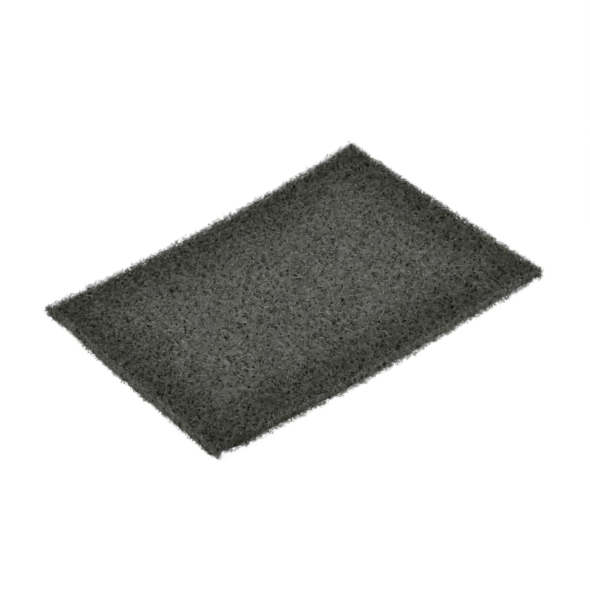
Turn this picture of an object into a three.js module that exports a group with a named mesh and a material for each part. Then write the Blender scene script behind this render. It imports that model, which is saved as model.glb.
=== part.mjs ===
// A rectangular hand pad of lofty non-woven abrasive web, one piece, lying on its flat middle with its ends curled up.
// Millimetres, +Z up: length along X, width along Y, origin on the bench under the middle of the pad.
import * as THREE from "three";

// The cut blank.
const PAD_LENGTH = 229;
const PAD_WIDTH = 152;
const PAD_THICKNESS = 6.5;
const WIDTH_DIFFERENCE = 9; // the +X end is cut this much wider than the -X end
const EDGE_ROUND = 1.1; // the cut rolls the edges of both faces over by this much
const EDGE_RAG = 0.55; // torn fibres leave the cut edge this far in and out of a straight line

// How the pad lies.
const FLAT_LENGTH = 23; // the middle stretch that rests on the bench
const END_LIFT = 4.7; // rise of the middle of each end
const END_TWIST = 1; // the corners of an end rise this much more, and this much less, than its middle

// The open web on both faces: matted fibres with pores between them.
const WEB_PITCH = 4.2; // mean distance between neighbouring knots of the web
const WEB_STRAY = 1.5; // the knots lie up to this far off an even grid
const MAT_RELIEF = 0.7; // the matted fibres lie up to this far below the crest of the face
const PORE_DEPTH = 2.1; // the deepest pores go this far below the crest
const PORE_SHARE = 0.2; // share of the knots that are pores

const WEB_COLOUR = 0x565751;
const WEB_ROUGHNESS = 0.95;
const WEB_METALNESS = 0;

const COLUMNS = Math.round(PAD_LENGTH / WEB_PITCH);
const ROWS = Math.round(PAD_WIDTH / WEB_PITCH);

/** Kinds of chance that one knot of the web takes, each with numbers of its own. */
const Chance = { ALONG: 1, ACROSS: 2, MAT: 3, PORE: 4, DEPTH: 5, RAG: 6 };

/** Levels of the pad from the bench up: the lower face, the two rolled edges of the cut wall, the upper face. */
const Level = { BASE: 0, WALL_LOW: 1, WALL_HIGH: 2, FACE: 3 };

/** A number from 0 to 1 that is always the same for one knot, level and kind of chance. */
function chance(column, row, level, kind) {
  const knot = column * (ROWS + 1) + row;
  const kinds = Object.keys(Chance).length + 1;
  const levels = Object.keys(Level).length;
  return THREE.MathUtils.seededRandom((knot * levels + level) * kinds + kind);
}

/** The same, from -1 to 1. */
function scatter(column, row, level, kind) {
  return 2 * chance(column, row, level, kind) - 1;
}

/** Height of the web's underside over the bench at a place in the plan. */
function lift(x, y) {
  const curled = Math.max(0, Math.abs(x) - FLAT_LENGTH / 2);
  const share = curled / ((PAD_LENGTH - FLAT_LENGTH) / 2);
  const lean = (END_TWIST * Math.sign(x) * y) / (PAD_WIDTH / 2);
  return share ** 2 * (END_LIFT + lean);
}

/** Half the width of the cut blank at a place along the length. */
function halfWidth(x) {
  return (PAD_WIDTH + (WIDTH_DIFFERENCE * x) / PAD_LENGTH) / 2;
}

/** Which way out of the pad a knot of its border faces, in the plan: zero along both axes inside the border. */
function outward(column, row) {
  const across = (place, count) => (place === 0 ? -1 : Number(place === count));
  return new THREE.Vector2(across(column, COLUMNS), across(row, ROWS));
}

/** Place of a knot in the plan: strayed inside the border, ragged along it, drawn in where the cut edge rolls over. */
function planPlace(column, row, level) {
  const out = outward(column, row);
  const inside = out.clone().set(1 - Math.abs(out.x), 1 - Math.abs(out.y));
  const onFace = level === Level.BASE || level === Level.FACE;
  const rag = EDGE_RAG * scatter(column, row, level, Chance.RAG);
  const edge = onFace ? rag - EDGE_ROUND : rag;
  const evenX = PAD_LENGTH * (column / COLUMNS - 1 / 2);
  const evenY = 2 * halfWidth(evenX) * (row / ROWS - 1 / 2);
  const strayX = WEB_STRAY * scatter(column, row, Level.FACE, Chance.ALONG) * inside.x;
  const strayY = WEB_STRAY * scatter(column, row, Level.FACE, Chance.ACROSS) * inside.y;
  return new THREE.Vector2(evenX + strayX + edge * out.x, evenY + strayY + edge * out.y);
}

/** How far a knot lies inside the crest of its face: matted fibre everywhere, and pores here and there. */
function relief(column, row, level) {
  const mat = MAT_RELIEF * chance(column, row, level, Chance.MAT);
  const isPore = chance(column, row, level, Chance.PORE) < PORE_SHARE;
  const pore = PORE_DEPTH * (1 + chance(column, row, level, Chance.DEPTH)) / 2;
  return isPore ? pore : mat;
}

/** A knot of the web in space. */
function knot(column, row, level) {
  const place = planPlace(column, row, level);
  const pressed = Math.abs(place.x) <= FLAT_LENGTH / 2;
  const heights = {
    [Level.BASE]: pressed ? 0 : relief(column, row, level),
    [Level.WALL_LOW]: EDGE_ROUND,
    [Level.WALL_HIGH]: PAD_THICKNESS - EDGE_ROUND,
    [Level.FACE]: PAD_THICKNESS - relief(column, row, level),
  };
  return new THREE.Vector3(place.x, place.y, lift(place.x, place.y) + heights[level]);
}

/** The border's knots, once round the pad, counter-clockwise seen from above. */
function border() {
  const along = Array.from({ length: COLUMNS }, (_, i) => [i, 0]);
  const up = Array.from({ length: ROWS }, (_, i) => [COLUMNS, i]);
  const back = Array.from({ length: COLUMNS }, (_, i) => [COLUMNS - i, ROWS]);
  const down = Array.from({ length: ROWS }, (_, i) => [0, ROWS - i]);
  return [...along, ...up, ...back, ...down];
}

/** The pad's closed surface: two faces of the same web, joined by a cut wall with rolled edges. */
function webGeometry() {
  const points = [];
  const index = [];
  const numbers = new Map();
  const numberOf = (column, row, level) => {
    const key = `${column} ${row} ${level}`;
    if (!numbers.has(key)) {
      numbers.set(key, points.length);
      points.push(knot(column, row, level));
    }
    return numbers.get(key);
  };
  const quad = (a, b, c, d, slant) => {
    index.push(...(slant ? [a, b, c, a, c, d] : [a, b, d, b, c, d]));
  };
  for (let column = 0; column < COLUMNS; column++) {
    for (let row = 0; row < ROWS; row++) {
      const corners = [[0, 0], [1, 0], [1, 1], [0, 1]];
      const slant = chance(column, row, Level.FACE, Chance.RAG) < 1 / 2;
      const at = (level) => corners.map(([c, r]) => numberOf(column + c, row + r, level));
      quad(...at(Level.FACE), slant);
      quad(...at(Level.BASE).reverse(), slant);
    }
  }
  const ring = border();
  for (let level = Level.BASE; level < Level.FACE; level++) {
    ring.forEach((here, i) => {
      const next = ring[(i + 1) % ring.length];
      const lower = [numberOf(...here, level), numberOf(...next, level)];
      const upper = [numberOf(...next, level + 1), numberOf(...here, level + 1)];
      quad(...lower, ...upper, i % 2 === 0);
    });
  }
  const geometry = new THREE.BufferGeometry().setFromPoints(points);
  geometry.setIndex(index);
  geometry.computeVertexNormals();
  return geometry;
}

/** The pad with its dull grey finish. */
function abrasivePad() {
  const material = new THREE.MeshStandardMaterial({
    color: WEB_COLOUR,
    roughness: WEB_ROUGHNESS,
    metalness: WEB_METALNESS,
    flatShading: true,
  });
  const mesh = new THREE.Mesh(webGeometry(), material);
  mesh.name = "abrasive_pad";
  return mesh;
}

const part = new THREE.Group();
part.add(abrasivePad());

export default part;
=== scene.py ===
"""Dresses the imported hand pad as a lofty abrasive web: a porous core under mats of crimped fibre."""
import logging
import math
from dataclasses import dataclass, field
from enum import Enum

import bpy
import numpy as np
from mathutils import Matrix, Vector


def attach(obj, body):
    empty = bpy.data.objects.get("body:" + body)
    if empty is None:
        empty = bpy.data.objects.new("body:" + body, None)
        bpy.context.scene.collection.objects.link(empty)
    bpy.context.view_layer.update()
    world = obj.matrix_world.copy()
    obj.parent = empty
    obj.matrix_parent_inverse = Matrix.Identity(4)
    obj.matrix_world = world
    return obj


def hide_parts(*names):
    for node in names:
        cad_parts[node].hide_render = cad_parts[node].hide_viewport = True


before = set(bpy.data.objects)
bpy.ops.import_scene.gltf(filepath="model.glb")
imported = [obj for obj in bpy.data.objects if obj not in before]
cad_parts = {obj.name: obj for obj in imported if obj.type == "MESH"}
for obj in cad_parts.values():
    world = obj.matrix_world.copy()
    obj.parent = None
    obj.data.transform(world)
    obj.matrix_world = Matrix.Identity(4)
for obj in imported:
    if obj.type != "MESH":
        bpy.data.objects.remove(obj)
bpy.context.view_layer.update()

PAD_NODE = "abrasive_pad"
ROOT_BODY = "root"
BAKE_MAP = "OFBake"
TONE = "strand_tone"
MM = 1e-3
TURN = 2 * math.pi
LATTICE = 512  # knots along each side of a lattice of random numbers
TINY = 1e-9  # metres, so that no way out of a pore is divided by zero
NOISE_MEAN = 0.5  # what a Noise Texture node gives on average
SMOOTH = {"interpolation_type": "SMOOTHSTEP"}
SHOWING_RAYS = ("Is Camera Ray", "Is Glossy Ray", "Is Transmission Ray")
WHITE = (1.0, 1.0, 1.0)

# Short names for types.
Array = np.ndarray
Chance = np.random.Generator
Colour = tuple[float, float, float]
Pair = tuple[float, float]
Piece = bpy.types.Object
Row = tuple[float, ...]
Socket = bpy.types.NodeSocket
Value = "Number | float"

log = logging.getLogger("abrasive_pad")


class Face(Enum):
    """The two faces of the pad, each with the way its crest points."""

    UPPER = 1
    LOWER = -1


@dataclass(frozen=True)
class Range:
    """The least and the most of a size."""

    least: float
    most: float

    def draw(self, chance: Chance, shape: int | tuple[int, ...]) -> Array:
        """Sizes drawn evenly from the range."""
        return chance.uniform(self.least, self.most, shape)

    def hold(self, sizes: Array) -> Array:
        """The sizes, none of them outside the range."""
        return np.clip(sizes, self.least, self.most)


def lattice_noise(plan: Array, pitch: float, seed: int) -> Array:
    """Smooth random numbers over the plan, with a random knot at each step of a square lattice.

    Args:
        plan: Places in the plan, in metres, with x and y last.
        pitch: Distance between the lattice's knots, in metres.
        seed: Picks the random numbers.

    Returns:
        One number from -1 to 1 for each place.
    """
    knots = np.random.default_rng(seed).uniform(-1, 1, (LATTICE, LATTICE))
    steps = plan / pitch + LATTICE / 2
    cell = np.floor(steps).astype(int)
    share = steps - cell
    share = share * share * (3 - 2 * share)
    i, j = cell[..., 0] % LATTICE, cell[..., 1] % LATTICE
    next_i, next_j = (i + 1) % LATTICE, (j + 1) % LATTICE
    along, across = share[..., 0], share[..., 1]
    near = knots[i, j] * (1 - along) + knots[next_i, j] * along
    far = knots[i, next_j] * (1 - along) + knots[next_i, next_j] * along
    return near * (1 - across) + far * across


@dataclass(frozen=True)
class Tug:
    """A place where the cut strays from its straight line, and how far round it the web follows.

    The anchor is a corner of the pad, or the middle of a side where one of its two numbers is zero.
    """

    anchor: tuple[int, int]
    offset: Pair
    move: Pair
    reach: float


@dataclass(frozen=True)
class PadForm:
    """The pad's size, and how it lies: flat in the middle, with both ends curled up and slightly twisted.

    A place in the flat pad is x along the length, y across an even width, and h above the lower face.
    """

    length: float = 229 * MM
    width: float = 152 * MM
    thickness: float = 6.5 * MM
    width_difference: float = 9 * MM
    flat_length: float = 23 * MM
    end_lift: float = 4.7 * MM
    end_twist: float = 1 * MM
    edge_round: float = 1.3 * MM
    round_width: float = 1.95 * MM
    rim_lean: float = 1.8 * MM
    lean_power: int = 3
    tugs: tuple[Tug, ...] = (
        Tug((1, -1), (0, 0), (1.1 * MM, -1.2 * MM), 30 * MM),
        Tug((1, -1), (-26 * MM, 0), (0, -0.5 * MM), 22 * MM),
        Tug((-1, 1), (0, -20 * MM), (0.9 * MM, 0), 14 * MM),
        Tug((-1, 1), (0, 0), (-0.5 * MM, 0.3 * MM), 4 * MM),
        Tug((-1, -1), (1 * MM, 0), (0.4 * MM, -2.7 * MM), 2.2 * MM),
        Tug((-1, -1), (5.2 * MM, 0), (0, 2.8 * MM), 2.8 * MM),
        Tug((-1, -1), (16.5 * MM, 0), (0, -1 * MM), 4.5 * MM),
        Tug((-1, -1), (30 * MM, 0), (0, -0.4 * MM), 16 * MM),
        Tug((-1, -1), (0, 7 * MM), (-1.2 * MM, 0), 4.5 * MM),
        Tug((-1, 0), (0, 0), (-0.9 * MM, 0), 50 * MM),
        Tug((0, -1), (15 * MM, 0), (0, -1.35 * MM), 110 * MM),
        Tug((0, 1), (15 * MM, 0), (0, 0.9 * MM), 100 * MM),
        Tug((1, 1), (-20 * MM, 0), (0, 0.6 * MM), 30 * MM),
    )

    @property
    def half(self) -> Array:
        """Half the length and half the width."""
        return np.array([self.length, self.width]) / 2

    @property
    def corners(self) -> Array:
        """How far round the pad each corner is, from the narrow end's near corner back to it."""
        return np.cumsum([0, self.length, self.width, self.length, self.width])

    def near_edge(self, plan: Array, width: float) -> Array:
        """How near places in the flat plan are to an edge: zero further in than the width, one on it."""
        return np.clip(1 - (self.half - np.abs(plan)).min(-1) / width, 0, 1)

    def roll(self, plan: Array) -> Array:
        """How far the crest of a face drops where the cut edge rolls over."""
        return self.edge_round * self.near_edge(plan, self.round_width) ** 2

    def lift(self, x: Array, y: Array) -> Array:
        """Height of the lower face over the bench."""
        share = np.clip(np.abs(x) - self.flat_length / 2, 0, None) / ((self.length - self.flat_length) / 2)
        return share**2 * (self.end_lift + self.end_twist * np.sign(x) * y / (self.width / 2))

    def lean_in(self, height: Array) -> Array:
        """How far the cut wall leans in: not at all in its lower half, most at its upper rim."""
        return self.rim_lean * np.clip(2 * height / self.thickness - 1, 0, 1) ** self.lean_power

    def place(self, flat: Array) -> Array:
        """Lays places of the flat pad out as the pad lies, with the cut where it strays from its line.

        Args:
            flat: Places in the flat pad, with x, y and h last.

        Returns:
            The same places in the frame.
        """
        plan = flat[..., :2].copy()
        for tug in self.tugs:
            middle = np.array(tug.anchor) * self.half + tug.offset
            away = np.linalg.norm(flat[..., :2] - middle, axis=-1, keepdims=True) / tug.reach
            plan += np.exp(-(away**2)) * tug.move
        x, y = plan[..., 0], plan[..., 1]
        wide = y * (1 + self.width_difference * x / (self.length * self.width))
        return np.stack([x, wide, flat[..., 2] + self.lift(x, wide)], -1)


@dataclass
class PoreField:
    """Pores between the fibres of one face: one in each cell of a grid, each somewhere in its own cell."""

    form: PadForm
    seed: int
    pitch: float = 4.8 * MM
    stray: float = 2.0 * MM
    least_radius: float = 0.35 * MM
    most_radius: float = 1.35 * MM
    small_power: float = 1.7  # the higher, the more of the pores are small
    most_stretch: float = 1.45
    warp: float = 0.3 * MM
    warp_pitch: float = 2 * MM
    warp_seeds: tuple[int, int] = (100, 200)
    push_reach: float = 1.7  # in radii, how far from a pore's middle fibres are led aside
    pit_reach: float = 1.35  # in radii, how far from a pore's middle its pit starts
    least_pit: float = 0.55  # depth of the smallest pit, as a share of the widest one's
    centres: Array = field(init=False)
    radii: Array = field(init=False)
    squeeze: Array = field(init=False)

    def __post_init__(self) -> None:
        """Scatters the pores."""
        chance = np.random.default_rng(self.seed)
        columns = int(self.form.length / self.pitch) + 2
        rows = int(self.form.width / self.pitch) + 2
        grid = np.stack(np.meshgrid(np.arange(columns), np.arange(rows), indexing="ij"), -1)
        even = (grid - (np.array([columns, rows]) - 1) / 2) * self.pitch
        self.centres = even + chance.uniform(-self.stray, self.stray, even.shape)
        spread = chance.uniform(0, 1, (columns, rows)) ** self.small_power
        self.radii = self.least_radius + (self.most_radius - self.least_radius) * spread
        angle = chance.uniform(0, math.pi, (columns, rows))
        stretch = chance.uniform(1, self.most_stretch, (columns, rows))
        cos, sin = np.cos(angle), np.sin(angle)
        turn = np.stack([np.stack([cos, sin], -1), np.stack([-sin, cos], -1)], -2)
        scale = np.stack([1 / stretch, stretch], -1)
        self.squeeze = turn * scale[..., None]

    def nearest(self, plan: Array) -> tuple[Array, Array, Array]:
        """The pore that each place lies deepest in, or nearest to.

        Args:
            plan: Places in the flat plan, with x and y last.

        Returns:
            The way out of the pore, the distance from its middle and its radius.
        """
        counts = np.array(self.radii.shape)
        aside = [lattice_noise(plan, self.warp_pitch, self.seed + more) for more in self.warp_seeds]
        plan = plan + self.warp * np.stack(aside, -1)
        cell = np.rint(plan / self.pitch + (counts - 1) / 2).astype(int)
        best = np.full(plan.shape[:-1], np.inf)
        way = np.zeros(plan.shape)
        radius = np.full(plan.shape[:-1], self.least_radius)
        for step in np.ndindex(3, 3):
            index = np.clip(cell + np.array(step) - 1, 0, counts - 1)
            i, j = index[..., 0], index[..., 1]
            off = plan - self.centres[i, j]
            size = self.radii[i, j]
            squeezed = np.einsum("...ij,...j->...i", self.squeeze[i, j], off)
            share = np.linalg.norm(squeezed, axis=-1) / size
            closer = share < best
            best = np.where(closer, share, best)
            way = np.where(closer[..., None], off, way)
            radius = np.where(closer, size, radius)
        straight = np.maximum(np.linalg.norm(way, axis=-1), TINY)
        return way / straight[..., None], best * radius, radius

    def push_aside(self, plan: Array) -> Array:
        """Leads fibres round the pores.

        Args:
            plan: Places on the fibres, with x and y last.

        Returns:
            The places, moved out of the pores.
        """
        way, distance, radius = self.nearest(plan)
        reach = self.push_reach * radius
        pushed = radius * (1 + distance / reach * (self.push_reach - 1))
        move = np.where(distance < reach, pushed - distance, 0)
        return plan + way * move[..., None]

    def depth(self, plan: Array, deepest: float) -> Array:
        """How far a pore goes into the core under each place.

        Args:
            plan: Places in the flat plan, with x and y last.
            deepest: Depth of the widest pore.

        Returns:
            One depth for each place, zero between the pores.
        """
        _, distance, radius = self.nearest(plan)
        share = np.clip(self.pit_reach - distance / radius, 0, 1)
        size = self.least_pit + (1 - self.least_pit) * radius / self.most_radius
        return deepest * np.sqrt(share) * size


class Sheet:
    """A material's nodes."""

    def __init__(self, tree: bpy.types.NodeTree) -> None:
        """Keeps the tree that the nodes go into."""
        self.tree = tree

    def node(self, kind: str, settings: dict | None = None, sockets: dict | None = None) -> bpy.types.Node:
        """Adds a node.

        Args:
            kind: Type of the node.
            settings: Properties of the node, which are set first.
            sockets: Values or links of its inputs, by name or number.

        Returns:
            The new node.
        """
        made = self.tree.nodes.new(kind)
        for name, value in (settings or {}).items():
            setattr(made, name, value)
        for name, value in (sockets or {}).items():
            if isinstance(value, Number):
                self.tree.links.new(value.socket, made.inputs[name])
            elif isinstance(value, Socket):
                self.tree.links.new(value, made.inputs[name])
            else:
                made.inputs[name].default_value = value
        return made

    def number(self, socket: Socket) -> "Number":
        """Wraps a socket for maths."""
        return Number(self, socket)

    def noise(self, place: Socket, pitch: float, detail: float = 2.0) -> "Number":
        """Cloudy values from zero to one, in patches of about the pitch."""
        sockets = {"Vector": place, "Scale": 1 / pitch, "Detail": detail}
        return self.number(self.node("ShaderNodeTexNoise", None, sockets).outputs["Fac"])

    def mix(self, share: "Number", first: Colour, second: Colour) -> Socket:
        """A colour between two others: the first at a share of zero, the second at one."""
        colours = {"Factor": share, 6: (*first, 1), 7: (*second, 1)}
        return self.node("ShaderNodeMix", {"data_type": "RGBA"}, colours).outputs[2]

    def times(self, colour: Socket, tint: Socket) -> Socket:
        """A colour with a tint."""
        return self.node("ShaderNodeVectorMath", {"operation": "MULTIPLY"}, {0: colour, 1: tint}).outputs[0]


class Number:
    """A value socket that adds Math nodes when it is used in an expression."""

    def __init__(self, sheet: Sheet, socket: Socket) -> None:
        """Keeps the socket and the sheet that new nodes go on."""
        self.sheet = sheet
        self.socket = socket

    def _math(self, operation: str, first: Value, second: Value = 0.0) -> "Number":
        """A Math node on two values."""
        made = self.sheet.node("ShaderNodeMath", {"operation": operation}, {0: first, 1: second})
        return Number(self.sheet, made.outputs[0])

    def __add__(self, other: Value) -> "Number":
        """The sum."""
        return self._math("ADD", self, other)

    __radd__ = __add__

    def __sub__(self, other: Value) -> "Number":
        """This less the other."""
        return self._math("SUBTRACT", self, other)

    def __rsub__(self, other: Value) -> "Number":
        """The other less this."""
        return self._math("SUBTRACT", other, self)

    def __mul__(self, other: Value) -> "Number":
        """The product."""
        return self._math("MULTIPLY", self, other)

    __rmul__ = __mul__

    def __abs__(self) -> "Number":
        """The size without the sign."""
        return self._math("ABSOLUTE", self)

    def least(self, other: Value) -> "Number":
        """The smaller of the two."""
        return self._math("MINIMUM", self, other)

    def most(self, other: Value) -> "Number":
        """The larger of the two."""
        return self._math("MAXIMUM", self, other)

    def ramp(self, span: Range, start: float, end: float) -> "Number":
        """A smooth way from start to end as this value crosses the span."""
        sockets = {0: self, 1: span.least, 2: span.most, 3: start, 4: end}
        return self.sheet.number(self.sheet.node("ShaderNodeMapRange", SMOOTH, sockets).outputs[0])


@dataclass(frozen=True)
class WebFinish:
    """Dull resin-coated fibre with grit: grey with a little green, with painted shade towards the cut edges,
    in the corners and in its thin spots and pores, and a painted rim light just inside the edges where it is
    set.
    """

    name: str
    dark: Colour = (0.079, 0.081, 0.07)
    light: Colour = (0.495, 0.508, 0.438)
    roughness: float = 0.86
    shine: float = 0.12

    # Painted shade towards the cut edges and in the corners, and a painted rim light just inside the edges.
    painted_border_shade: Colour = (0.57, 0.577, 0.54)
    border_span: Range = Range(5 * MM, 47 * MM)
    corner_shade: float = 0.8
    corner_span: Range = Range(4 * MM, 26 * MM)
    painted_rim_light: float = 1.0
    rim_span: Range = Range(1 * MM, 6.2 * MM)

    # Uneven tone, drawn out upwards where it is fine.
    cloud_pitch: float = 14 * MM
    cloud_depth: float = 0.11
    grit_pitch: float = 0.45 * MM
    grit_depth: float = 1.08
    loft: float = 0.5

    # Painted shade in thin spots of the web and in the pores, both of which grow towards the cut edges.
    pock_pitch: float = 2.4 * MM
    pock_span: Range = Range(0.31, 0.44)
    pock_shade: float = 0.62
    pock_border: float = 0.1
    pore_pitch: float = 3.1 * MM
    pore_span: Range = Range(0.19125, 0.2805)
    pore_shade: float = 0.12
    pore_border: float = 0.04
    pore_warp: float = 1.2 * MM
    pore_warp_pitch: float = 1.55 * MM

    # Tints of the resin, and a tint that follows the tone and the painted shade.
    hue_pitch: float = 9 * MM
    hue_span: Range = Range(0.36, 0.64)
    cool: Colour = (0.993, 0.987, 1.03)
    warm: Colour = (1.01, 1.01, 0.963)
    gap_cast: Colour = (0.973, 1.0, 0.81)
    crest_cast: Colour = (1.01, 1.0, 1.07)
    cast_span: Range = Range(0.05, 0.57)

    def material(self, form: PadForm) -> bpy.types.Material:
        """Makes the material.

        Args:
            form: The pad's size, which sets where its cut edges are.

        Returns:
            The new material.
        """
        made = bpy.data.materials.new(self.name)
        made.use_nodes = True
        sheet = Sheet(made.node_tree)
        place = sheet.node("ShaderNodeTexCoord").outputs["Object"]
        drawn_out = {"Vector": place, "Scale": (1, 1, self.loft)}
        lofty = sheet.node("ShaderNodeMapping", None, drawn_out).outputs[0]
        tone = sheet.number(sheet.node("ShaderNodeAttribute", {"attribute_name": TONE}).outputs["Fac"])
        axes = sheet.node("ShaderNodeSeparateXYZ", None, {0: place}).outputs
        x, y = sheet.number(axes[0]), sheet.number(axes[1])
        from_end = form.length / 2 - abs(x)
        from_side = x * (form.width_difference / form.length / 2) + form.width / 2 - abs(y)
        from_edge = from_end.least(from_side)
        from_corner = from_end.most(from_side)
        # middle: zero at the cut edges, one in the middle; the band between gets painted shade
        middle = from_edge.ramp(self.border_span, 0.0, 1.0)
        # Painted rim light: the colour is lighter just inside the cut edges.
        shade = from_edge.ramp(self.rim_span, self.painted_rim_light, 1.0)
        # Painted shade in the corners, where both cut edges are near.
        shade = shade * from_corner.ramp(self.corner_span, self.corner_shade, 1.0)
        shade = shade * self._patches(sheet, place, self.cloud_pitch, self.cloud_depth)
        shade = shade * self._patches(sheet, lofty, self.grit_pitch, self.grit_depth)
        # Painted shade in thin spots of the web and in the pores.
        shade = shade * self._pocks(sheet, lofty, middle) * self._pores(sheet, lofty, middle)
        colour = sheet.mix(tone, self.dark, self.light)
        # Painted shade towards the cut edges: the border colour, fading to white in the middle.
        colour = sheet.times(colour, sheet.mix(middle, self.painted_border_shade, WHITE))
        colour = sheet.times(colour, self._hue(sheet, place))
        colour = sheet.times(colour, self._cast(sheet, tone * shade))
        scaled = sheet.node("ShaderNodeVectorMath", {"operation": "SCALE"}, {0: colour, "Scale": shade})
        shader = made.node_tree.nodes["Principled BSDF"]
        sheet.tree.links.new(scaled.outputs[0], shader.inputs["Base Color"])
        shader.inputs["Roughness"].default_value = self.roughness
        shader.inputs["Specular IOR Level"].default_value = self.shine
        return made

    def _patches(self, sheet: Sheet, place: Socket, pitch: float, depth: float) -> Number:
        """Uneven tone round one: slow where the web lies thicker or thinner, fine where grit sits on it."""
        return (sheet.noise(place, pitch) - NOISE_MEAN) * (2 * depth) + 1.0

    def _hue(self, sheet: Sheet, place: Socket) -> Socket:
        """Cooler and warmer patches where more or less of the resin sits on the fibre."""
        share = sheet.noise(place, self.hue_pitch, detail=1.0).ramp(self.hue_span, 0.0, 1.0)
        return sheet.mix(share, self.cool, self.warm)

    def _cast(self, sheet: Sheet, tone: Number) -> Socket:
        """Browner where the tone and the painted shade make the colour dark, greyer where they make it
        light.
        """
        crest = tone.ramp(self.cast_span, 0.0, 1.0)
        return sheet.mix(crest, self.gap_cast, self.crest_cast)

    def _pocks(self, sheet: Sheet, place: Socket, middle: Number) -> Number:
        """Painted shade in dark gaps where the web is thin, more of them towards the cut edges."""
        noise = sheet.noise(place, self.pock_pitch) - (1.0 - middle) * self.pock_border
        return noise.ramp(self.pock_span, self.pock_shade, 1.0)

    def _pores(self, sheet: Sheet, place: Socket, middle: Number) -> Number:
        """Painted shade in small deep pores all through the web, uneven in outline and wider towards the
        edges.

        Args:
            sheet: The material's nodes.
            place: Object coordinates.
            middle: Zero at the edges, one in the middle of the pad.

        Returns:
            The share of the colour that is left.
        """
        sockets = {"Vector": place, "Scale": 1 / self.pore_warp_pitch}
        noise = sheet.node("ShaderNodeTexNoise", None, sockets).outputs["Color"]
        sockets = {0: noise, 1: (self.pore_warp,) * 3, 2: place}
        warped = sheet.node("ShaderNodeVectorMath", {"operation": "MULTIPLY_ADD"}, sockets).outputs[0]
        sockets = {"Vector": warped, "Scale": 1 / self.pore_pitch}
        distance = sheet.number(sheet.node("ShaderNodeTexVoronoi", None, sockets).outputs["Distance"])
        distance = distance - (1.0 - middle) * self.pore_border
        return distance.ramp(self.pore_span, self.pore_shade, 1.0)


@dataclass
class WebCore:
    """The dense middle of the web, drawn in under the fibre mats and pitted by the pores of both faces."""

    form: PadForm
    upper_pores: PoreField
    lower_pores: PoreField
    finish: WebFinish
    seed: int = 11
    upper_inset: float = 1.4 * MM
    lower_inset: float = 0.5 * MM
    end_inset: float = 1.1 * MM
    side_inset: float = 2.0 * MM
    edge_round: float = 0.6 * MM
    round_steps: int = 3
    voxel: float = 1.0 * MM
    face_power: int = 3  # the higher, the nearer to a face its pits and lumps stay
    pore_depth: float = 2.8 * MM
    lumps: tuple[Pair, ...] = ((0.35 * MM, 4 * MM), (0.7 * MM, 1.7 * MM))  # depth and pitch
    rim_drop: float = 2.0 * MM
    rim_width: float = 3.5 * MM
    tone: float = 0.5
    tone_spread: float = 0.35
    tone_pitch: float = 1.3 * MM
    painted_pit_shade: float = 0.9

    def build(self) -> Piece:
        """Models the core.

        Returns:
            The core's object, in place and dressed.
        """
        bpy.ops.object.select_all(action="DESELECT")
        bpy.ops.mesh.primitive_cube_add(size=1)
        core = bpy.context.active_object
        core.name = core.data.name = "web_core"
        core.scale = (
            self.form.length - 2 * self.end_inset,
            self.form.width - 2 * self.side_inset,
            self.form.thickness - self.upper_inset - self.lower_inset,
        )
        core.location.z = (self.form.thickness - self.upper_inset + self.lower_inset) / 2
        bpy.ops.object.transform_apply(location=True, rotation=True, scale=True)
        bpy.ops.object.mode_set(mode="EDIT")
        bpy.ops.mesh.bevel(offset=self.edge_round, segments=self.round_steps)
        bpy.ops.object.mode_set(mode="OBJECT")
        core.data.remesh_voxel_size = self.voxel
        bpy.ops.object.voxel_remesh()
        self._work(core.data)
        bpy.ops.object.shade_smooth()
        core.data.materials.append(self.finish.material(self.form))
        return core

    def _work(self, mesh: bpy.types.Mesh) -> None:
        """Pits the core, makes it lumpy and lays it out as the pad lies.

        Args:
            mesh: The core's even mesh.
        """
        flat = np.empty(len(mesh.vertices) * 3, np.float32)
        mesh.vertices.foreach_get("co", flat)
        flat = flat.reshape(-1, 3).astype(float)
        plan, height = flat[:, :2], flat[:, 2]
        bottom, top = self.lower_inset, self.form.thickness - self.upper_inset
        to_face = (2 * height - top - bottom) / (top - bottom)
        upper = np.clip(to_face, 0, 1) ** self.face_power
        lower = np.clip(-to_face, 0, 1) ** self.face_power
        height -= upper * self.rim_drop * self.form.near_edge(plan, self.rim_width) ** 2
        height -= upper * self.upper_pores.depth(plan, self.pore_depth)
        height += lower * self.lower_pores.depth(plan, self.pore_depth)
        plan *= 1 - self.form.lean_in(height)[:, None] / self.form.half
        for more, (depth, pitch) in enumerate(self.lumps):
            height += (upper - lower) * depth * lattice_noise(plan, pitch, self.seed + more)
        flat[:, 2] = np.maximum(height, 0)
        mesh.vertices.foreach_set("co", self.form.place(flat).astype(np.float32).ravel())
        # Painted shade: the core's tone is darker in the pores' pits.
        pit = np.where(to_face > 0, self.upper_pores.depth(plan, 1), self.lower_pores.depth(plan, 1))
        noise = lattice_noise(plan, self.tone_pitch, self.seed + len(self.lumps))
        value = (self.tone + self.tone_spread * noise) * (1 - self.painted_pit_shade * pit)
        tone = mesh.attributes.new(TONE, "FLOAT", "POINT")
        tone.data.foreach_set("value", value.astype(np.float32))
        mesh.update()


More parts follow.
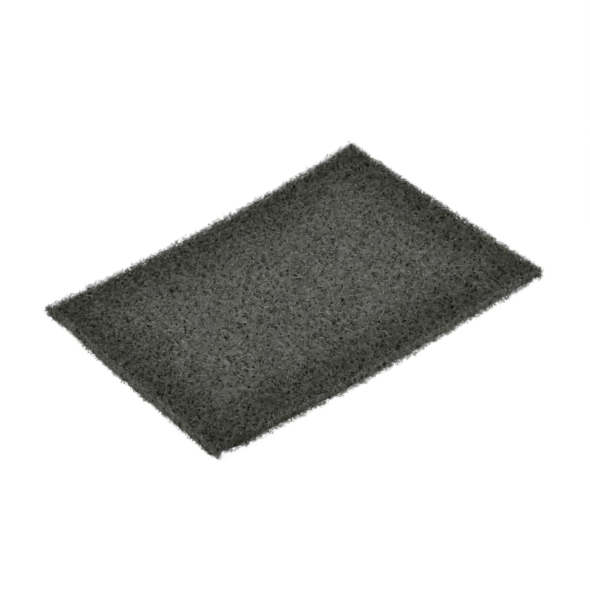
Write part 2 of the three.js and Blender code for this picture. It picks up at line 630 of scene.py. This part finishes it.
@dataclass
class Strands:
    """Crimped fibres of one length: middle lines in the flat pad, radii, and tones along them."""

    name: str
    paths: Array
    radii: Array
    tones: Array
    sides: int = 3
    weld: float = 1e-4 * MM
    least_gap: float = 0.03 * MM
    cell_margin: float = 0.15

    def build(self, form: PadForm, material: bpy.types.Material) -> Piece:
        """Makes the fibres as one mesh of thin closed tubes.

        Args:
            form: How the pad lies.
            material: What the fibres are dressed in.

        Returns:
            The fibres' object, in place and dressed.
        """
        bpy.ops.object.select_all(action="DESELECT")
        section = self._section()
        curve = bpy.data.curves.new(self.name, "CURVE")
        curve.dimensions = "3D"
        curve.bevel_mode = "OBJECT"
        curve.bevel_object = section
        placed = form.place(self._apart(form))
        count, points = placed.shape[:2]
        pinch = np.ones(points)
        pinch[[0, -1]] = 0
        for line, radius in zip(placed, self.radii):
            spline = curve.splines.new("POLY")
            spline.points.add(points - 1)
            corners = np.concatenate([line, np.ones((points, 1))], 1)
            spline.points.foreach_set("co", corners.ravel())
            spline.points.foreach_set("radius", radius * pinch)
        made = bpy.data.objects.new(self.name, curve)
        bpy.context.scene.collection.objects.link(made)
        bpy.context.view_layer.objects.active = made
        made.select_set(True)
        bpy.ops.object.convert(target="MESH")
        made = bpy.context.active_object
        bpy.data.objects.remove(section)
        self._mark(made.data, count, points)
        self._close()
        made.data.materials.clear()
        made.data.materials.append(material)
        return made

    def _apart(self, form: PadForm) -> Array:
        """Moves a point that lies on the one before it, which a curve would drop, a little into the pad.

        Args:
            form: The pad's size.

        Returns:
            The fibres' middle lines in the flat pad.
        """
        paths = self.paths.copy()
        for k in range(1, paths.shape[1]):
            gap = np.linalg.norm(paths[:, k] - paths[:, k - 1], axis=-1)
            inward = np.sign(form.thickness / 2 - paths[:, k, 2])
            paths[:, k, 2] += np.where(gap < self.least_gap, 2 * self.least_gap, 0) * inward
        return paths

    def _section(self) -> Piece:
        """Draws a fibre's section: a closed outline of a few corners, one metre in radius.

        Returns:
            The section's object, which a curve can follow.
        """
        outline = bpy.data.curves.new(self.name + "_section", "CURVE")
        outline.dimensions = "2D"
        spline = outline.splines.new("POLY")
        spline.points.add(self.sides - 1)
        angles = TURN * np.arange(self.sides) / self.sides
        corners = np.stack([np.cos(angles), np.sin(angles), 0 * angles, 0 * angles + 1], 1)
        spline.points.foreach_set("co", corners.ravel())
        spline.use_cyclic_u = True
        made = bpy.data.objects.new(outline.name, outline)
        bpy.context.scene.collection.objects.link(made)
        return made

    def _close(self) -> None:
        """Welds the pinched ends of the active object's fibres, turns their faces out and smooths them."""
        bpy.ops.object.mode_set(mode="EDIT")
        bpy.ops.mesh.select_all(action="SELECT")
        bpy.ops.mesh.remove_doubles(threshold=self.weld)
        bpy.ops.mesh.normals_make_consistent(inside=False)
        bpy.ops.object.mode_set(mode="OBJECT")
        bpy.ops.object.shade_smooth()

    def _mark(self, mesh: bpy.types.Mesh, count: int, points: int) -> None:
        """Gives each fibre its own tones and its own small cell of the bake's map.

        Args:
            mesh: The fibres' mesh.
            count: Number of fibres.
            points: Points along each fibre.
        """
        each = points * self.sides
        if len(mesh.vertices) != count * each:
            raise ValueError(f"{self.name}: {len(mesh.vertices)} vertices, not {count * each}")
        tone = mesh.attributes.new(TONE, "FLOAT", "POINT")
        tone.data.foreach_set("value", np.repeat(self.tones, self.sides, 1).astype(np.float32).ravel())
        fibre, within = np.divmod(np.arange(count * each), each)
        along, around = np.divmod(within, self.sides)
        columns = math.ceil(math.sqrt(count))
        row, column = np.divmod(fibre, columns)
        inner = 1 - 2 * self.cell_margin
        u = (column + self.cell_margin + inner * (along / (points - 1))) / columns
        v = (row + self.cell_margin + inner * (around / (self.sides - 1))) / columns
        for layer in list(mesh.uv_layers):
            mesh.uv_layers.remove(layer)
        corner = np.empty(len(mesh.loops), np.int32)
        mesh.loops.foreach_get("vertex_index", corner)
        cells = np.stack([u, v], 1)[corner].astype(np.float32)
        mesh.uv_layers.new(name=BAKE_MAP).uv.foreach_set("vector", cells.ravel())


@dataclass(frozen=True)
class Bend:
    """How the fibres of a lofty web bend: into dented arcs that stand, lean and lie every way."""

    radius: Range = Range(0.8 * MM, 2.0 * MM)
    sweep: float = math.radians(105)
    dent: float = 0.15
    dents: int = 3
    balance: float = 0.5

    def arcs(self, chance: Chance, count: int, points: int) -> Array:
        """Bends fibres.

        Args:
            chance: Source of random numbers.
            count: Number of fibres.
            points: Points along each fibre.

        Returns:
            Places along the fibres, each round the middle of its own fibre.
        """
        curl = self.radius.draw(chance, (count, 1))
        angle = np.linspace(-self.sweep, self.sweep, points)
        curl = curl * (1 + self.dent * np.sin(self.dents * angle + chance.uniform(0, TURN, (count, 1))))
        first = chance.normal(0, 1, (count, 1, 3))
        first /= np.linalg.norm(first, axis=-1, keepdims=True)
        second = np.cross(first, chance.normal(0, 1, (count, 1, 3)))
        second /= np.linalg.norm(second, axis=-1, keepdims=True)
        across = curl * np.sin(angle)
        along = curl * (np.cos(angle) - self.balance)
        return across[..., None] * first + along[..., None] * second


@dataclass
class FaceMat:
    """A mat of fibres of one face, crimped, crossing each other and led round the pores."""

    form: PadForm
    pores: PoreField
    face: Face
    name: str
    seed: int
    count: int
    points: int = 7
    step: float = 1.3 * MM
    radius: Range = Range(0.15 * MM, 0.28 * MM)
    level: Range = Range(0.2 * MM, 1.5 * MM)  # how far under the crest fibres lie
    bend_radius: float = 4.4 * MM
    crimp: Range = Range(0.2, 0.9)
    crimp_length: Range = Range(3.5 * MM, 8 * MM)
    wave: float = 0.3 * MM
    wave_length: Range = Range(4 * MM, 9 * MM)
    tuck: float = 0.5 * MM
    tuck_power: float = 4
    fray: Pair = (2.0 * MM, 2.8 * MM)
    fray_share: Range = Range(-1.75, 0.25)
    crest_lump: float = 0.3 * MM
    crest_pitch: float = 7 * MM
    crest_seed: int = 21
    painted_shade_depth: float = 2.2 * MM
    tone: float = 0.62
    tone_spread: float = 0.2

    def strands(self) -> Strands:
        """Lays the fibres, and turns back those that would fray too far over the edge.

        Returns:
            The mat's fibres.
        """
        chance = np.random.default_rng(self.seed)
        plan, depth = self._lines(chance)
        reach = self.form.half + self.fray * self.fray_share.draw(chance, (self.count, 1, 2))
        plan = np.clip(plan - 2 * np.sign(plan) * np.clip(np.abs(plan) - reach, 0, None), -reach, reach)
        radii = self.radius.draw(chance, self.count)
        depth = np.clip(depth, radii[:, None], self.form.thickness - radii[:, None])
        height = self.form.thickness - depth if self.face is Face.UPPER else depth
        # Painted shade: fibres that lie deeper under the crest are darker, as if shaded by the fibres above.
        light = np.clip(1 - depth / self.painted_shade_depth, 0, 1)
        tones = np.clip(chance.normal(self.tone, self.tone_spread, (self.count, 1)), 0, 1) * light
        return Strands(self.name, np.concatenate([plan, height[..., None]], -1), radii, tones)

    def _middles(self, chance: Chance) -> Array:
        """Middles of the fibres, all over the face."""
        return chance.uniform(-1, 1, (self.count, 1, 2)) * self.form.half

    def _crest(self, plan: Array) -> Array:
        """How far the lumpy crest of the face lies under its highest places."""
        noise = lattice_noise(plan, self.crest_pitch, self.crest_seed + self.face.value)
        return self.crest_lump * (1 + noise) / 2 + self.form.roll(plan)

    def _lines(self, chance: Chance) -> tuple[Array, Array]:
        """Crimped lines that lie along the face.

        Args:
            chance: Source of random numbers.

        Returns:
            The lines' places in the flat plan, and how far under the crest they lie.
        """
        count = (self.count, 1)
        middle = self._middles(chance)
        along = self.step * np.arange(self.points)
        heading = chance.uniform(0, TURN, count)
        bend = chance.normal(0, 1 / self.bend_radius, count)
        crimp = self.crimp.draw(chance, count)
        crimp_length = self.crimp_length.draw(chance, count)
        phase = chance.uniform(0, TURN, count)
        angle = heading + bend * along + crimp * np.sin(TURN * along / crimp_length + phase)
        steps = self.step * np.stack([np.cos(angle), np.sin(angle)], -1)
        lines = np.cumsum(steps, 1)
        plan = self.pores.push_aside(middle + lines - lines.mean(1, keepdims=True))
        level = self.level.draw(chance, count)
        wave_length = self.wave_length.draw(chance, count)
        phase = chance.uniform(0, TURN, count)
        wave = self.wave * np.sin(TURN * along / wave_length + phase)
        tuck = self.tuck * np.abs(np.linspace(-1, 1, self.points)) ** self.tuck_power
        return plan, level + wave + tuck + self._crest(plan)


@dataclass
class CurlMat(FaceMat):
    """A mat of fibres that stand, lean and lie every way."""

    level: Range = Range(0.1 * MM, 1.5 * MM)
    bend: Bend = Bend()
    stand: float = 2.3

    def _lines(self, chance: Chance) -> tuple[Array, Array]:
        """Arcs that are folded back where they would stand over the crest.

        Args:
            chance: Source of random numbers.

        Returns:
            The arcs' places in the flat plan, and how far under the crest they lie.
        """
        middle = self._middles(chance)
        arc = self.bend.arcs(chance, self.count, self.points)
        plan = self.pores.push_aside(middle + arc[..., :2])
        level = self.level.draw(chance, (self.count, 1))
        return plan, np.abs(level - self.stand * arc[..., 2]) + self._crest(plan)


@dataclass(frozen=True)
class Wall:
    """What one cut wall has of its own: how ragged and frayed it is, and how much painted light its fibres
    get.
    """

    ruffles: Row = (0.5 * MM, 0.4 * MM, 0.4 * MM)  # one depth for each pitch of the cut line
    inset: float = 0.4 * MM  # how far the mat lies behind the cut line
    curl_tuft: float = 0.7 * MM
    curl_fray: float = 1.0
    fringe_fray: float = 1.0
    fineness: float = 1.0  # radius of its loose fibres, as a share of the usual one
    # Painted light: the mat of the far walls is lighter, as if lit from behind.
    mat_painted_light: float = 1.0
    # Painted light at the foot of a wall, as if from the floor's bounce.
    foot_painted_light: Pair = (1.0, 1.0)  # where the wall starts and where it ends


@dataclass(frozen=True)
class PaintedShade:
    """A patch of painted shade on a cut wall, standing in for a shadowed groove: its middle and its size
    round the pad and up the wall, and its depth.
    """

    around: float
    length: float
    depth: float
    up: float = 0.5
    tall: float = math.inf

    def shade(self, around: Array, share: Array) -> Array:
        """How much of the tone the painted shade takes at places round the pad and up the wall."""
        along = ((around - self.around) / self.length) ** 2
        return self.depth * np.exp(-along - ((share - self.up) / self.tall) ** 2)


@dataclass
class CutWalls:
    """The four cut walls, which run round the pad from the narrow end's near corner.

    A share goes up a wall and over its rim, from zero at the foot to one on the upper face.
    """

    form: PadForm
    corner: float = 1.5 * MM
    bench_gap: float = 0.22 * MM
    ruffle_pitches: Row = (1.2 * MM, 3.5 * MM, 10 * MM)
    ruffle_seed: int = 51
    tuft_pitch: float = 1.8 * MM
    section_share: Row = (0, 0.5, 0.7, 0.85, 1)
    section_out: Row = (0, 0, -0.4 * MM, -1.2 * MM, -2.2 * MM)
    section_height: Row = (0.7 * MM, 4.8 * MM, 5.8 * MM, 6.2 * MM, 6.3 * MM)
    section_tilt: Row = (0, 0, math.radians(45), math.radians(80), math.radians(90))
    # Painted shade on the near side by the narrow end's corner, where the wall lies in shadow.
    painted_shades: tuple[PaintedShade, ...] = (
        PaintedShade(19 * MM, 12 * MM, 0.72),
        PaintedShade(42 * MM, 32 * MM, 0.45, up=0.56, tall=0.2),
    )

    # The near side, the wide end, the far side and the narrow end.
    walls: tuple[Wall, ...] = (
        Wall(
            (0.2 * MM, 0.9 * MM, 0.4 * MM), inset=1.8 * MM, curl_tuft=0.35 * MM,
            fringe_fray=0.82, foot_painted_light=(2.2, 3.0),
        ),
        Wall(mat_painted_light=1.2),
        Wall(inset=0.5 * MM, curl_fray=1.5, fringe_fray=1.1, fineness=0.8, mat_painted_light=1.5),
        Wall((0.3 * MM, 0.2 * MM, 0.3 * MM), curl_tuft=0.6 * MM, foot_painted_light=(1.5, 0.9)),
    )

    def _place(self, around: Array, out: Array, height: Array) -> Array:
        """Places on the ruffled walls, in the flat pad.

        Args:
            around: Distances round the pad.
            out: How far they stand out of the wall.
            height: Heights above the lower face.

        Returns:
            The places' x, y and height, none of them under the bench.
        """
        depths = self._own(around, "ruffles")
        spot = np.stack([around, height], -1)
        for k, pitch in enumerate(self.ruffle_pitches):
            out = out + depths[..., k] * lattice_noise(spot, pitch, self.ruffle_seed)
        half_length, half_width = self.form.half
        around = np.mod(around, self.form.corners[-1])
        # The signs of x and y at the corners, once round and back to the first.
        x = np.interp(around, self.form.corners, np.array([-1, 1, 1, -1, -1]) * half_length)
        y = np.interp(around, self.form.corners, np.array([-1, -1, 1, 1, -1]) * half_width)
        way_x = np.clip((np.abs(x) - half_length + self.corner) / self.corner, 0, 1) * np.sign(x)
        way_y = np.clip((np.abs(y) - half_width + self.corner) / self.corner, 0, 1) * np.sign(y)
        size = np.maximum(np.hypot(way_x, way_y), 1)
        x = x + way_x / size * out
        y = y + way_y / size * out
        return np.stack([x, y, np.maximum(height, self.bench_gap - self.form.lift(x, y))], -1)

    def _own(self, around: Array, size: str) -> Array:
        """The size, by its name, that the wall at each place round the pad has of its own."""
        values = np.array([getattr(wall, size) for wall in self.walls])
        return values[np.searchsorted(self.form.corners[1:-1], np.mod(around, self.form.corners[-1]))]

    def _foot_painted_light(self, around: Array, share: Array) -> Array:
        """How much painted light, as if from the floor's bounce, fibres get towards the foot of a wall.

        Args:
            around: Distances round the pad.
            share: Shares of the way up the wall.

        Returns:
            One share of the tone for each place, one on the upper face.
        """
        both_ends = np.repeat(self.form.corners, 2)[1:-1]
        gains = np.ravel([wall.foot_painted_light for wall in self.walls])
        gain = np.interp(np.mod(around, self.form.corners[-1]), both_ends, gains)
        return 1 + (gain - 1) * (1 - share) ** 2

    def _left_by_painted_shade(self, around: Array, share: Array) -> Array:
        """Share of the tone that the painted shade leaves at places round the pad and up the wall."""
        return 1 - np.max([painted_patch.shade(around, share) for painted_patch in self.painted_shades], 0)

    def _section(self, share: Array, reach: Row, tone: Row) -> tuple[Array, ...]:
        """The wall's section at shares of the way up: how far out, height, tilt, reach and tone."""
        rows = (self.section_out, self.section_height, self.section_tilt, reach, tone)
        return tuple(np.interp(share, self.section_share, row) for row in rows)


@dataclass
class WallMat(CutWalls):
    """Fibres that lie along the cut walls."""

    seed: int = 51
    count: int = 3000
    points: int = 6
    step: float = 1.2 * MM
    radius: Range = Range(0.11 * MM, 0.24 * MM)
    bend_radius: float = 4 * MM
    margin: float = 0.3 * MM
    wave: float = 0.2 * MM
    wave_length: float = 5 * MM
    out: Range = Range(-0.9 * MM, -0.1 * MM)
    tone_mix: Pair = (2, 2)  # the higher both are, the fewer fibres are very dark or very light

    def strands(self) -> Strands:
        """Lays the fibres, and turns back those that would leave the wall upwards or downwards.

        Returns:
            The walls' mat.
        """
        chance = np.random.default_rng(self.seed)
        count = (self.count, 1)
        along = self.step * np.arange(self.points)
        heading = chance.uniform(0, TURN, count) + chance.normal(0, 1 / self.bend_radius, count) * along
        around = chance.uniform(0, self.form.corners[-1], count) + np.cumsum(self.step * np.cos(heading), 1)
        height = chance.uniform(0, self.form.thickness, count) + np.cumsum(self.step * np.sin(heading), 1)
        span = self.form.thickness - 2 * self.margin - self.form.edge_round
        height = self.margin + span - np.abs(np.mod(height, 2 * span) - span)
        wave = self.wave * np.sin(TURN * along / self.wave_length + chance.uniform(0, TURN, count))
        out = self.out.draw(chance, count) + wave - self.form.lean_in(height) - self._own(around, "inset")
        radii = self.radius.draw(chance, self.count)
        share = np.interp(height, self.section_height, self.section_share)
        # Painted light by wall and at the foot of the wall, and painted shade where the wall lies in shadow.
        gain = self._own(around, "mat_painted_light") * self._foot_painted_light(around, share) * self._left_by_painted_shade(around, share)
        tones = np.clip(chance.beta(*self.tone_mix, count) * gain, 0, 1)
        return Strands("edge_mat", self._place(around, out, height), radii, tones)


@dataclass
class WallCurls(CutWalls):
    """Bent fibres all over the cut walls and over their upper rims, where they reach furthest."""

    seed: int = 56
    tuft_seed: int = 57
    count: int = 9000
    points: int = 4
    radius: Range = Range(0.09 * MM, 0.18 * MM)
    bend: Bend = Bend(Range(0.45 * MM, 1.25 * MM))
    root: float = 0.9 * MM
    reach: Row = (1.1 * MM, 1.0 * MM, 1.5 * MM, 1.5 * MM, 0.9 * MM)
    # Painted light up the wall: lighter at the foot, as if lit by the floor, and on the upper rim, as if lit
    # from behind.
    tone: Row = (0.6, 0.4, 0.6, 0.78, 0.84)
    tone_spread: float = 0.22

    def strands(self) -> Strands:
        """Grows the curls.

        Returns:
            The walls' curls.
        """
        chance = np.random.default_rng(self.seed)
        count = (self.count, 1)
        start = chance.uniform(0, self.form.corners[-1], count)
        share = chance.uniform(0, 1, count)
        out, height, tilt, reach, tone = self._section(share, self.reach, self.tone)
        reach = reach * self._own(start, "curl_fray")
        # Painted light at the foot of the wall.
        tone = tone * self._foot_painted_light(start, share)
        tuft = lattice_noise(np.stack([start, height], -1), self.tuft_pitch, self.tuft_seed)
        stand = (self.root + reach) * chance.uniform(0, 1, count) - self.root
        stand = stand + tuft * self._own(start, "curl_tuft")
        arc = self.bend.arcs(chance, self.count, self.points)
        around = start + arc[..., 0]
        out = out + stand * np.cos(tilt) + arc[..., 1]
        height = height + stand * np.sin(tilt) + arc[..., 2]
        radii = self.radius.draw(chance, self.count) * self._own(start, "fineness")[:, 0]
        # Painted shade where the wall lies in shadow.
        tones = np.clip(chance.normal(tone, self.tone_spread), 0, 1) * self._left_by_painted_shade(around, share)
        return Strands("edge_curls", self._place(around, out, height), radii, tones)


@dataclass
class WallFringe(CutWalls):
    """Fine ends that stand out of the cut walls all round and lean together in tufts."""

    seed: int = 52
    tuft_seeds: tuple[int, int, int] = (53, 54, 55)
    count: int = 16000
    points: int = 3
    radius: Range = Range(0.1 * MM, 0.22 * MM)
    root: float = 1.0 * MM
    reach: Row = (1.2 * MM, 1.3 * MM, 1.5 * MM, 0.8 * MM, 0.3 * MM)
    reach_share: Range = Range(0.3, 1.5)
    # Painted light up the wall: lighter at the foot, as if lit by the floor, and on the upper rim, as if lit
    # from behind.
    tone: Row = (0.8, 0.42, 0.6, 0.85, 0.85)
    tone_spread: float = 0.25
    tuft_length: float = 0.8
    tuft_aside: float = 0.7
    tuft_rise: float = 0.5
    stray_aside: Pair = (0.5, 1.1)  # at the root, and more towards the end
    stray_rise: Pair = (0.3, 1.0)

    def strands(self) -> Strands:
        """Grows the fringe.

        Returns:
            The walls' fringe.
        """
        chance = np.random.default_rng(self.seed)
        count = (self.count, 1)
        share = chance.uniform(0, 1, count)
        out, height, tilt, reach, tone = self._section(share, self.reach, self.tone)
        start = chance.uniform(0, self.form.corners[-1], count)
        spot = np.stack([start, share * self.form.thickness], -1)
        longer, aside, rise = (lattice_noise(spot, self.tuft_pitch, seed) for seed in self.tuft_seeds)
        # Painted light at the foot of the wall.
        tone = tone * self._foot_painted_light(start, share)
        reach = reach * self._own(start, "fringe_fray") * self.reach_share.hold(chance.exponential(1, count))
        length = self.root + reach * (1 + self.tuft_length * longer)
        step = length / (self.points - 1) * np.sign(np.arange(self.points))
        aside = self.tuft_aside * aside + self._stray(chance, self.stray_aside)
        rise = tilt + self.tuft_rise * rise + self._stray(chance, self.stray_rise)
        around = start + np.cumsum(step * np.sin(aside) * np.cos(rise), 1)
        out = out - self.root * np.cos(tilt) + np.cumsum(step * np.cos(aside) * np.cos(rise), 1)
        height = height - self.root * np.sin(tilt) + np.cumsum(step * np.sin(rise), 1)
        radii = self.radius.draw(chance, self.count) * self._own(start, "fineness")[:, 0]
        # Painted shade where the wall lies in shadow.
        tones = np.clip(chance.normal(tone, self.tone_spread), 0, 1) * self._left_by_painted_shade(around, share)
        return Strands("edge_fringe", self._place(around, out, height), radii, tones)

    def _stray(self, chance: Chance, spread: Pair) -> Array:
        """How far the ends turn by chance: a little at the root, and more towards the end."""
        root, end = (chance.normal(0, size, (self.count, 1)) for size in spread)
        return root + end * np.linspace(0, 1, self.points)


@dataclass
class AbrasivePad:
    """The whole pad: core, mats of both faces, and the fibres of its cut edges."""

    form: PadForm = field(default_factory=PadForm)
    # The core is much darker than the face fibres: painted shade of the deep web seen between them.
    core_finish: WebFinish = WebFinish("core_fibre", (0.02, 0.0205, 0.0177), (0.25, 0.256, 0.221))
    # The face fibres get a painted rim light just inside the cut edges.
    face_finish: WebFinish = WebFinish("face_fibre", painted_rim_light=1.4)
    # The edge fibres get a lighter painted shade towards the cut edges than the face does.
    edge_finish: WebFinish = WebFinish("edge_fibre", painted_border_shade=(0.668, 0.666, 0.642))

    def build(self) -> list[Piece]:
        """Makes and dresses every piece, and ties each to the frame.

        Returns:
            The pad's pieces.
        """
        upper = PoreField(self.form, seed=31)
        lower = PoreField(self.form, seed=32)
        core = WebCore(self.form, upper, lower, self.core_finish).build()
        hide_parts(PAD_NODE)
        face_material = self.face_finish.material(self.form)
        edge_material = self.edge_finish.material(self.form)
        above = (self.form, upper, Face.UPPER)
        thick, fine = Range(0.13 * MM, 0.26 * MM), Range(0.12 * MM, 0.22 * MM)
        mats = [
            FaceMat(*above, "upper_lay", seed=41, count=3200, level=Range(0.5 * MM, 1.7 * MM)),
            CurlMat(*above, "upper_curls_1", seed=42, count=6300, radius=thick),
            CurlMat(*above, "upper_curls_2", seed=43, count=6300, radius=fine, tone=0.74),
            FaceMat(self.form, lower, Face.LOWER, "lower_mat", seed=49, count=3000),
        ]
        walls = [WallMat(self.form), WallCurls(self.form), WallFringe(self.form)]
        pieces = [core]
        pieces += [mat.strands().build(self.form, face_material) for mat in mats]
        pieces += [mat.strands().build(self.form, edge_material) for mat in walls]
        for piece in pieces:
            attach(piece, ROOT_BODY)
        return pieces


@dataclass(frozen=True)
class Studio:
    """Pale floor, soft light and a white surround."""

    floor_size: float = 4.0
    floor_drop: float = 0.2 * MM
    floor_colour: tuple[float, float, float, float] = (0.9, 0.9, 0.9, 1)
    floor_glow: float = 0.88
    glow_strength: float = 1.06
    sky: float = 0.35
    key_power: float = 75
    key_size: float = 1.75
    key_place: tuple[float, float, float] = (-2.15, -0.9, 2.2)

    def build(self) -> None:
        """Sets the floor, the sky and the lamp."""
        self._floor()
        self._sky()
        self._key()

    def _seen(self, sheet: Sheet) -> Number:
        """One for rays that show the surround, zero for those that only light the pad."""
        rays = sheet.node("ShaderNodeLightPath").outputs
        return sum(sheet.number(rays[kind]) for kind in SHOWING_RAYS).least(1.0)

    def _floor(self) -> None:
        """Lays the floor, white to the camera where no shadow falls."""
        bpy.ops.object.select_all(action="DESELECT")
        bpy.ops.mesh.primitive_plane_add(size=self.floor_size, location=(0, 0, -self.floor_drop))
        floor = bpy.context.active_object
        floor.name = "floor"
        bpy.ops.object.transform_apply(location=True, rotation=True, scale=True)
        made = bpy.data.materials.new("floor_white")
        made.use_nodes = True
        made.node_tree.nodes.clear()
        sheet = Sheet(made.node_tree)
        seen = self._seen(sheet)
        matt = sheet.node("ShaderNodeBsdfDiffuse", None, {"Color": self.floor_colour})
        glow = sheet.node("ShaderNodeEmission", None, {"Strength": self.glow_strength})
        sockets = {0: seen * self.floor_glow, 1: matt.outputs[0], 2: glow.outputs[0]}
        mix = sheet.node("ShaderNodeMixShader", None, sockets)
        sheet.node("ShaderNodeOutputMaterial", None, {"Surface": mix.outputs[0]})
        floor.data.materials.append(made)

    def _sky(self) -> None:
        """Lights the pad evenly from all round, and shows white behind it."""
        world = bpy.data.worlds.new("studio")
        bpy.context.scene.world = world
        world.use_nodes = True
        sheet = Sheet(world.node_tree)
        seen = self._seen(sheet)
        strength = seen * (1 - self.sky) + self.sky
        background = world.node_tree.nodes["Background"]
        background.inputs["Color"].default_value = (*WHITE, 1)
        world.node_tree.links.new(strength.socket, background.inputs["Strength"])

    def _key(self) -> None:
        """Hangs a wide soft lamp over the pad, towards the camera's side."""
        lamp = bpy.data.lights.new("softbox", "AREA")
        lamp.shape = "SQUARE"
        lamp.size = self.key_size
        lamp.energy = self.key_power
        made = bpy.data.objects.new("softbox", lamp)
        bpy.context.scene.collection.objects.link(made)
        made.location = self.key_place
        made.rotation_euler = (-Vector(self.key_place)).to_track_quat("-Z", "Y").to_euler()


@dataclass(frozen=True)
class PadCamera:
    """The view of the photograph: from above the near corner, at a short distance."""

    azimuth: float = -40.6293
    elevation: float = 40.0357
    distance: float = 977.4 * MM
    shift_right: float = 1.0658 * MM
    shift_up: float = 2.466 * MM
    focal_pixels: float = 1744.4746
    frame_pixels: float = 590
    sensor: float = 36.0

    def build(self) -> None:
        """Makes the camera and looks through it."""
        azimuth, elevation = math.radians(self.azimuth), math.radians(self.elevation)
        level = math.cos(elevation)
        back = Vector((math.sin(azimuth) * level, -math.cos(azimuth) * level, math.sin(elevation)))
        right = Vector((math.cos(azimuth), math.sin(azimuth), 0))
        up = back.cross(right)
        lens = bpy.data.cameras.new("view")
        lens.sensor_width = self.sensor
        lens.lens = self.focal_pixels / self.frame_pixels * self.sensor
        made = bpy.data.objects.new("view", lens)
        bpy.context.scene.collection.objects.link(made)
        place = back * self.distance + right * self.shift_right + up * self.shift_up
        made.matrix_world = Matrix.Translation(place) @ Matrix((right, up, back)).transposed().to_4x4()
        bpy.context.scene.camera = made


def main() -> None:
    """Builds the pad and the studio, and reports each piece."""
    logging.basicConfig(level=logging.INFO, format="%(name)s: %(message)s")
    bpy.context.scene.view_settings.view_transform = "Standard"
    for piece in AbrasivePad().build():
        piece.data.calc_loop_triangles()
        log.info("%s: %d triangles", piece.name, len(piece.data.loop_triangles))
    Studio().build()
    PadCamera().build()


if __name__ == "__main__":
    main()
